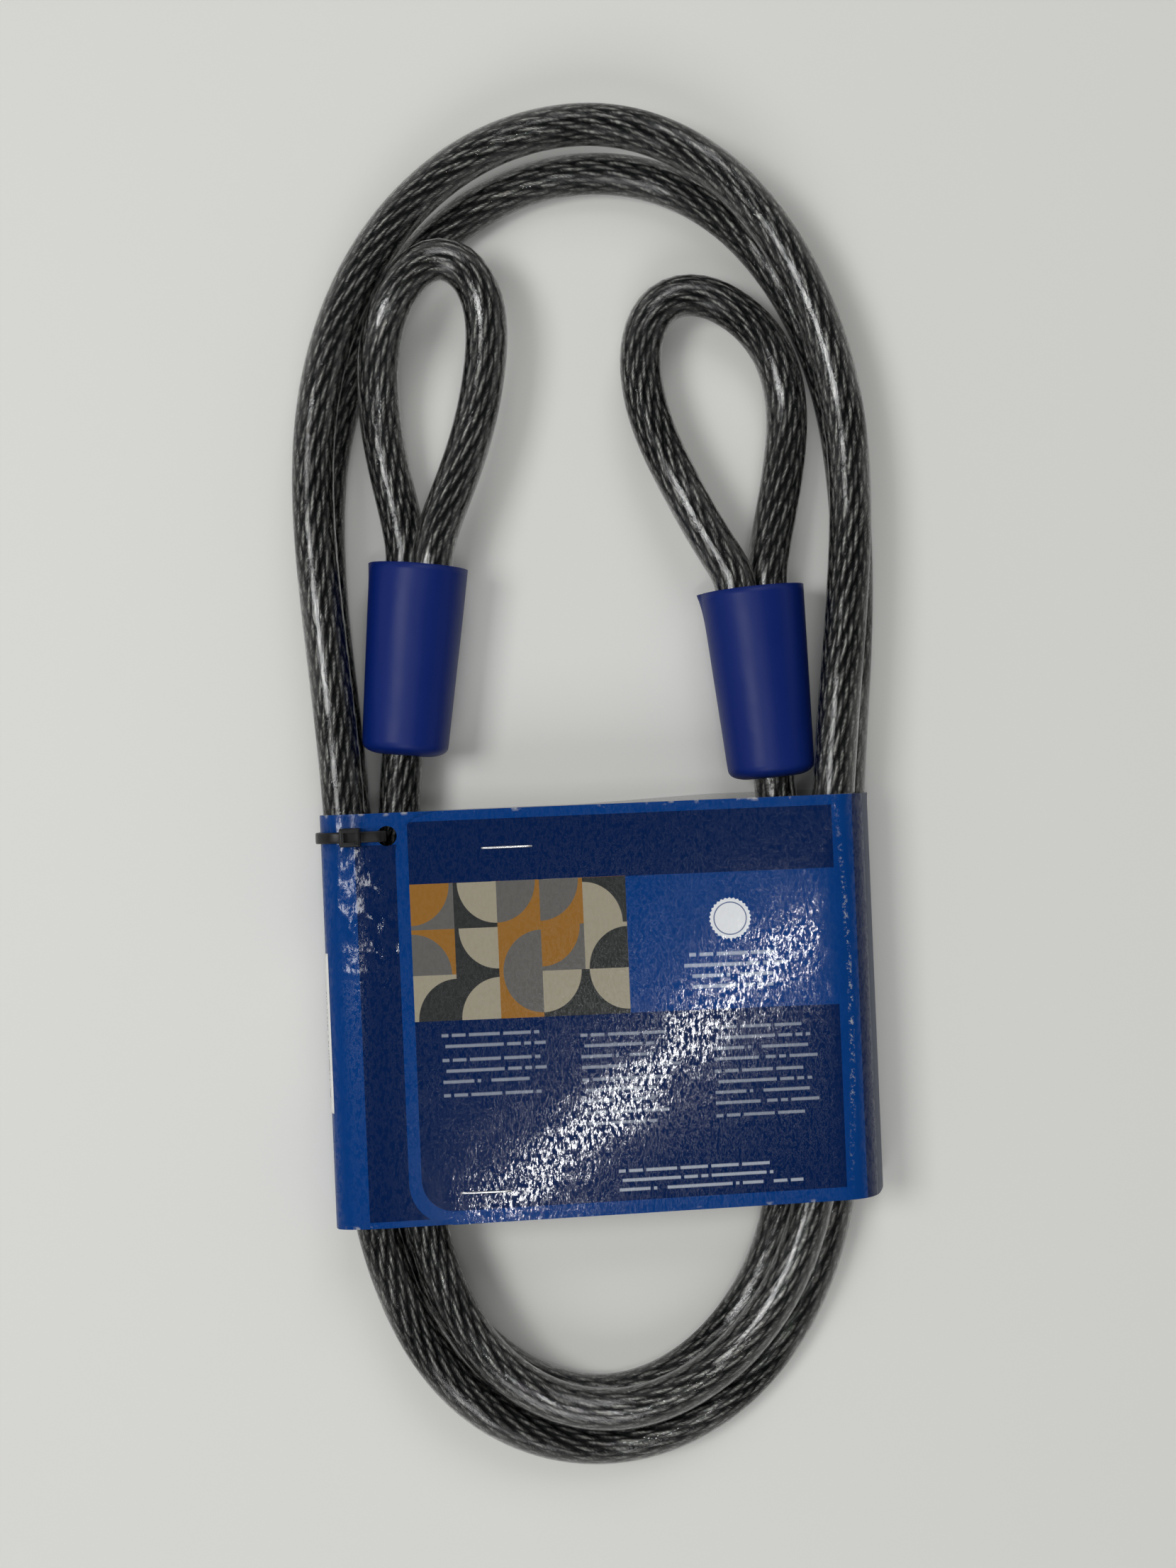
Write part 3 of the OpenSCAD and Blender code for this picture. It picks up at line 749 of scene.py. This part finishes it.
for left, top, rows, widest, pitch, centred in ((5, -36.8, 3, 50, 2.2, False),
                                                (33.4, 13.2, 4, 24, 2.5, True)):
    lines = dashes(left * mm, top * mm, rows, widest * mm, pitch * mm, 0.16, centred)
    print_colour = laminate.mix(laminate.math("MULTIPLY", lines, 0.6), print_colour, pale_ink)



def film_grain(across, up, roughness):
    """Fine noise drawn out up the card."""
    place = laminate.node("Mapping", Vector=laminate.place(), Scale=(across, up, across))
    return laminate.noise(place.outputs[0], 1.0, 3, roughness)


# The laminate is clear film with short strokes up the card. It is glossy and dull in fine grains
# on the flat panels, plainly dull on the sides, and crumpled by the tie.
dull_at, glossy_at = 0.43, 0.55
strokes = film_grain(1100, 460, 0.6)
facing_up = laminate.split(laminate.node("NewGeometry").outputs["Normal"])[2]
gloss_at = laminate.math("MINIMUM", film_grain(1200, 560, 0.75),
                         laminate.mapped(facing_up, 0.35, 0.75, dull_at, 1))
waves = laminate.noise(laminate.place(), 90, 3)
crease = laminate.node("TexNoise", {"noise_type": "RIDGED_MULTIFRACTAL"}, Vector=laminate.place(),
                       Scale=190.0, Detail=3.0).outputs[0]
by_tie = laminate.inside(under_print_x, print_y, (-55 * mm, 12 * mm), (-48.5 * mm, 37 * mm),
                         1 * mm, 5 * mm)
by_fold = laminate.inside(print_x, print_y, (60 * mm, -40 * mm), (61 * mm, 44 * mm), 0, 5 * mm)
crumple = laminate.math("MULTIPLY_ADD", by_fold, 0.2, by_tie)
drawn_out = laminate.math("MULTIPLY", strokes, laminate.math("MULTIPLY_ADD", crumple, 5, 1))
film = laminate.bump(waves, 0.6, 0.1 * mm)
film = laminate.bump(laminate.math("MULTIPLY", crease, crumple), 1.0, 1.2 * mm, film)
film = laminate.bump(drawn_out, 1.0, 0.012 * mm, film)
# It is rubbed white in spots along the cut edges
height_off = laminate.math("ABSOLUTE", print_y)
edge_off = laminate.math("SUBTRACT", card_l / 2, height_off)
rubbed = laminate.math("MULTIPLY", laminate.mapped(edge_off, 0.1 * mm, 0.9 * mm, 1, 0),
                       laminate.mapped(laminate.noise(laminate.place(), 300, 4), 0.6, 0.7))
# Pale specks are painted along the front's right fold, which bows a little; there are fewer towards
# the card's ends
fold_middle, fold_bow = 60.7 * mm, -0.8
fold_x = laminate.math("MULTIPLY_ADD", laminate.math("MULTIPLY", print_y, print_y),
                       fold_bow, fold_middle)
fold_off = laminate.math("ABSOLUTE", laminate.math("SUBTRACT", print_x, fold_x))
fold_specks = laminate.math("MULTIPLY", laminate.mapped(fold_off, 0.15 * mm, 0.8 * mm, 0.75, 0),
                        laminate.mapped(laminate.noise(laminate.place(), 800, 4, 0.75), 0.53, 0.61))
towards_end = laminate.mapped(height_off, 15 * mm, 42 * mm, 1, 0.2)
rubbed_and_specked = laminate.math("MAXIMUM", rubbed, laminate.math("MULTIPLY", fold_specks, towards_end))
laminate.set(Base_Color=laminate.mix(rubbed_and_specked, print_colour, (0.42, 0.43, 0.44)),
             Roughness=laminate.mapped(gloss_at, dull_at, glossy_at, 0.4, 0.04),
             Specular_Tint=laminate.mapped(gloss_at, dull_at, glossy_at, 0.12, 1.0),
             Specular_IOR_Level=0.35, Normal=film)
# Bare pulp shows inside, and at the cut edges
card_inside = Finish("card_inside")
pulp = card_inside.noise(card_inside.place(), 1500, 4, 0.7)
card_inside.set(Base_Color=card_inside.mix(pulp, (0.50, 0.50, 0.48), (0.64, 0.64, 0.62)),
                Roughness=0.85, Normal=card_inside.bump(pulp, 0.3, 0.1 * mm))
card_edge = Finish("card_edge")
fibre = card_edge.noise(card_edge.place(), 2500, 3, 0.7)
card_edge.set(Base_Color=card_edge.mix(fibre, (0.45, 0.46, 0.47), (0.74, 0.74, 0.72)),
              Roughness=0.9, Normal=card_edge.bump(fibre, 0.5, 0.1 * mm))
for finish in (laminate, card_inside, card_edge):
    card.data.materials.append(finish.material)

# The tie's hole in the under flap and its slot in the left side
tie_hole_r = 2.35 * mm
tie_slot = Vector((3, 3.2, 2.6)) * mm
bm = bmesh.new()
bmesh.ops.create_cone(bm, cap_ends=True, segments=32, radius1=tie_hole_r, radius2=tie_hole_r,
                      depth=1.3 * mm, matrix=on_card @ Matrix.Translation(
                          (*tie_hole, under_z - 0.3 * mm)))
bmesh.ops.create_cube(bm, size=1, matrix=on_card @ Matrix.Translation(
    (left_x, tie_hole.y, card_t + tie_slot.z / 2)) @ Matrix.Diagonal((*tie_slot, 1)))
punch = piece("punch", bm, smooth=False)
cut = card.modifiers.new("tie_hole", "BOOLEAN")
cut.object = punch
cut.solver = "EXACT"
with bpy.context.temp_override(object=card, active_object=card):
    bpy.ops.object.modifier_apply(modifier="thickness")
    bpy.ops.object.modifier_apply(modifier="tie_hole")
card.data.set_sharp_from_angle(angle=radians(40))
bpy.data.objects.remove(punch)
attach(card, "cable")
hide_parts("card_wrap")


# ---- The barcode label ----
# A strip of white paper, stuck on the card's left side and a little over its fold, and printed
# with plain bars.
label_t = 0.15 * mm
label_l = 37 * mm
label_middle = -3 * mm
label_low = 7 * mm
label_rows = 24
label_columns = [i for i, spot in enumerate(card_line)
                 if spot.x < left_x + 1.6 * mm and spot.y > label_low]
bm = bmesh.new()
bmesh.ops.create_grid(bm, x_segments=len(label_columns) - 1, y_segments=label_rows, size=1)
bm.verts.ensure_lookup_table()
uv = bm.loops.layers.uv.new("UVMap")
for vert in bm.verts:
    row, column = divmod(vert.index, len(label_columns))
    up = label_middle + (row / label_rows - 0.5) * label_l
    vert.co = card_surface(label_columns[column], up, card_t / 2 + 0.03 * mm)
for face in bm.faces:
    for corner in face.loops:
        row, column = divmod(corner.vert.index, len(label_columns))
        corner[uv].uv = (column * card_step, row / label_rows * label_l)
label = piece("barcode_strip", bm)
wall = label.modifiers.new("thickness", "SOLIDIFY")
wall.thickness = label_t
wall.offset = 1
paper = Finish("label_paper")
label_across, label_up, _ = paper.split(paper.uv())
bar = paper.math("GREATER_THAN", paper.chance(paper.math("FLOOR", paper.math(
    "DIVIDE", label_up, 0.35 * mm))), 0.52)
bars = paper.math("MULTIPLY", bar, paper.inside(label_across, label_up, (-1, 3 * mm),
                                                (11.5 * mm, label_l - 9 * mm)))
mottle = paper.noise(paper.place(), 700, 3, 0.6)
paper.set(Base_Color=paper.mix(bars, paper.mix(mottle, (0.66, 0.66, 0.63), (0.80, 0.80, 0.78)),
                               (0.02, 0.02, 0.022)),
          Roughness=0.6, Normal=paper.bump(mottle, 0.2, 0.1 * mm))
label.data.materials.append(paper.material)
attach(label, "cable")
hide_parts("barcode_label")


# ---- The staples ----
# Two office staples of bright wire, pushed through both flaps and clinched behind them.
staple_w = 12.7 * mm
staple_wire_r = 0.27 * mm
clinch_l = 3.5 * mm
bright_wire = Finish("staple_wire")
drawn = bright_wire.noise(bright_wire.place(), 1800, 3, 0.6)
bright_wire.set(Base_Color=bright_wire.mix(drawn, (0.62, 0.62, 0.63), (0.84, 0.84, 0.84)),
                Metallic=1.0, Roughness=bright_wire.mapped(drawn, 0.3, 0.7, 0.2, 0.36),
                Normal=bright_wire.bump(drawn, 0.2, 0.05 * mm))


def front_spot(x, y, above):
    """A point above the front flap."""
    at = (x - flap_x) / card_step
    column = int(at)
    return card_surface(column, y, above).lerp(card_surface(column + 1, y, above), at - column)


def staple(name, x, y):
    half = staple_w / 2 - staple_wire_r
    crown_middle = front_spot(x, y, card_t / 2 + staple_wire_r + 0.02 * mm)
    down = front_z - under_z + card_t + 2 * staple_wire_r
    low = -down - 0.1 * mm
    corners = [Vector((at, 0, z)) for at, z in (
        (clinch_l - half, low), (-half, -down), (-half, 0),
        (half, 0), (half, -down), (half - clinch_l, low))]
    turned = on_card.to_3x3()
    line = [crown_middle + turned @ corner for corner in even(rounded(corners), 0.25 * mm)]
    wire_piece = tube(name + "_wire", line, 10, lambda share: staple_wire_r)
    wire_piece.data.materials.append(bright_wire.material)
    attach(wire_piece, "cable")
    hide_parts(name)


staple("top_staple", -18 * mm, 38.9 * mm)
staple("bottom_staple", -26.1 * mm, -40.9 * mm)


# ---- The cable tie ----
# Black nylon: a flat strap round the two left runs and through the card's hole. Its end goes into
# its own head, where it is held and cut off flush.
tie_w, tie_t = 2.6 * mm, 1 * mm
tie_around = 16
tie_corner = 0.35                         # below 1, the strap's section is squarer than an oval
tie_z = under_z + card_t / 2 + 0.1 * mm + tie_t / 2
head_x = -54.3 * mm
tie_in_x = -49.95 * mm
tie_low_z = card_t + 0.25 * mm + tie_t / 2
tie_out_x = left_x - card_t / 2 - 0.2 * mm - tie_t / 2
tie_line = [Vector(p) for p in (
    (head_x + 1 * mm, tie_z), (-47.4 * mm, tie_z), (tie_hole.x - 0.5 * mm, tie_z - 1 * mm),
    (tie_hole.x - 0.9 * mm, under_z - 0.6 * mm), (tie_in_x, 15.5 * mm), (tie_in_x, 3 * mm),
    (tie_in_x - 1.55 * mm, tie_low_z), (left_x + 0.5 * mm, tie_low_z),
    (tie_out_x, tie_low_z + 1.6 * mm), (tie_out_x, under_z - 3.8 * mm),
    (left_x + 1.6 * mm, under_z - 0.2 * mm), (left_x + 4.4 * mm, tie_z), (head_x - 1 * mm, tie_z))]
nylon = Finish("black_nylon")
moulded = nylon.noise(nylon.place(), 420, 3, 0.6)
nylon.set(Base_Color=nylon.mix(moulded, (0.007, 0.007, 0.008), (0.018, 0.018, 0.019)),
          Roughness=nylon.mapped(moulded, 0.3, 0.7, 0.26, 0.42), Specular_IOR_Level=0.2,
          Normal=nylon.bump(moulded, 0.2, 0.1 * mm))
strap_line = even(rounded(tie_line), 0.8 * mm)
rings = []
for i, spot in enumerate(strap_line):
    a, b = strap_line[max(i - 1, 0)], strap_line[min(i + 1, len(strap_line) - 1)]
    out = Vector((a.y - b.y, 0, b.x - a.x)).normalized()
    rings.append([])
    for k in range(tie_around):
        turn = 2 * pi * (k + 0.5) / tie_around
        flat = Vector((abs(cos(turn)) ** tie_corner * (1 if cos(turn) > 0 else -1),
                       abs(sin(turn)) ** tie_corner * (1 if sin(turn) > 0 else -1)))
        rings[-1].append(on_card @ (Vector((spot.x, tie_hole.y + flat.x * tie_w / 2, spot.y))
                                    + out * flat.y * tie_t / 2))
strap = skin("tie_strap", rings, length(strap_line))
strap.data.materials.append(nylon.material)

# The head is a box with a sunk top and rounded outer edges
head = Vector((4.9, 4.4, 3.4)) * mm
head_wall = 1.1 * mm
head_sunk = 1.6 * mm
head_round = 0.45 * mm
bm = bmesh.new()
bmesh.ops.create_cube(bm, size=1, matrix=Matrix.Diagonal((*head, 1)))
top = max(bm.faces, key=lambda face: face.calc_center_median().z)
bmesh.ops.inset_region(bm, faces=[top], thickness=head_wall, use_even_offset=True)
sunk = bmesh.ops.extrude_face_region(bm, geom=[top])["geom"]
bmesh.ops.delete(bm, geom=[top], context="FACES")
bmesh.ops.translate(bm, vec=(0, 0, -head_sunk),
                    verts=[part for part in sunk if isinstance(part, bmesh.types.BMVert)])
outer = [edge for edge in bm.edges
         if all(max(abs(v.co.x) / head.x, abs(v.co.y) / head.y) > 0.49 for v in edge.verts)]
bmesh.ops.bevel(bm, geom=outer, offset=head_round, offset_type="OFFSET", segments=3, profile=0.5,
                affect="EDGES", material=-1)
bmesh.ops.recalc_face_normals(bm, faces=bm.faces)
bmesh.ops.transform(bm, verts=bm.verts, matrix=on_card @ Matrix.Translation(
    (head_x, tie_hole.y, tie_z - tie_t / 2 + head.z / 2)))
tie_head = piece("tie_head", bm, smooth=False)
tie_head.data.materials.append(nylon.material)
for part in (strap, tie_head):
    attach(part, "cable")
    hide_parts("cable_tie")


# ---- The floor and the light ----
# A plain pale sheet under soft light from above. Three broad lamps light it, and a narrow one
# gives the laminate its streak.
bm = bmesh.new()
bmesh.ops.create_grid(bm, x_segments=1, y_segments=1, size=3,
                      matrix=Matrix.Translation((0, 0, -0.1 * mm)))
floor_sheet = piece("floor", bm, smooth=False)
paint = Finish("pale_floor")
paint.set(Base_Color=(0.72, 0.72, 0.69, 1), Roughness=0.55)
# It fades into the room where the lamps no longer reach it
away = paint.mapped(paint.far(*paint.split(paint.place())[:2]), 0.5, 1.4, smooth=True)
fading = paint.node("MixShader")
for socket, source in ((fading.inputs[0], away), (fading.inputs[1], paint.shader.outputs[0]),
                       (fading.inputs[2], paint.node("BsdfTransparent").outputs[0]),
                       (paint.tree.nodes["Material Output"].inputs["Surface"], fading.outputs[0])):
    paint.put(socket, source)
floor_sheet.data.materials.append(paint.material)


def lamp(name, place, aim, size, power, wide=None, turn=0):
    light = bpy.data.lights.new(name, "AREA")
    light.shape = "RECTANGLE"
    light.size = size
    light.size_y = wide or size
    light.energy = power
    made = bpy.data.objects.new(name, light)
    made.location = place
    facing = (Vector(aim) - Vector(place)).to_track_quat("-Z", "Y").to_matrix()
    made.rotation_euler = (facing @ Matrix.Rotation(radians(turn), 3, "Z")).to_euler()
    bpy.context.scene.collection.objects.link(made)


lamp("left_lamp", (-0.8, 0.1, 1.4), (0, 0, 0), 0.5, 9.5)
lamp("near_lamp", (-0.2, -1.3, 1.4), (0, 0, 0), 0.9, 8)
lamp("far_lamp", (0.2, 1.3, 1.4), (0, 0, 0), 0.9, 8)
lamp("tube_lamp", (0.050, -0.197, 1.2), (0, 0, 0), 0.31, 1.05, wide=0.013, turn=28)
# The room is dim overhead, more so as a mirror shows it, and pale round the horizon for what is
# seen, mirrored or looked through
overhead, overhead_mirrored, horizon = 0.2, 0.06, (0.62, 0.62, 0.60)
world = bpy.data.worlds.new("room")
world.use_nodes = True
room = world.node_tree
rays = room.nodes.new("ShaderNodeLightPath")
heading = room.nodes.new("ShaderNodeTexCoord")
height_up = room.nodes.new("ShaderNodeSeparateXYZ")
low_down = room.nodes.new("ShaderNodeMapRange")
seen = [room.nodes.new("ShaderNodeMath") for _ in range(4)]
shade = room.nodes.new("ShaderNodeMix")
shade.data_type = "RGBA"
for made, operation in zip(seen, ("MAXIMUM", "MAXIMUM", "MULTIPLY", "MULTIPLY_ADD")):
    made.operation = operation
for source, socket in (
        (heading.outputs["Generated"], height_up.inputs[0]),
        (height_up.outputs["Z"], low_down.inputs[0]),
        (rays.outputs["Is Camera Ray"], seen[0].inputs[0]),
        (rays.outputs["Is Glossy Ray"], seen[0].inputs[1]),
        (rays.outputs["Is Transmission Ray"], seen[1].inputs[1]),
        (seen[0].outputs[0], seen[1].inputs[0]), (seen[1].outputs[0], seen[2].inputs[0]),
        (low_down.outputs[0], seen[2].inputs[1]), (seen[2].outputs[0], shade.inputs[0]),
        (rays.outputs["Is Glossy Ray"], seen[3].inputs[0]), (seen[3].outputs[0], shade.inputs[6]),
        (shade.outputs[2], room.nodes["Background"].inputs[0])):
    room.links.new(source, socket)
for socket, number in zip(low_down.inputs[1:], (0.2, 0.6, 1.0, 0.0)):
    socket.default_value = number
seen[3].inputs[1].default_value = overhead_mirrored - overhead
seen[3].inputs[2].default_value = overhead
shade.inputs[7].default_value = (*horizon, 1)
bpy.context.scene.world = world
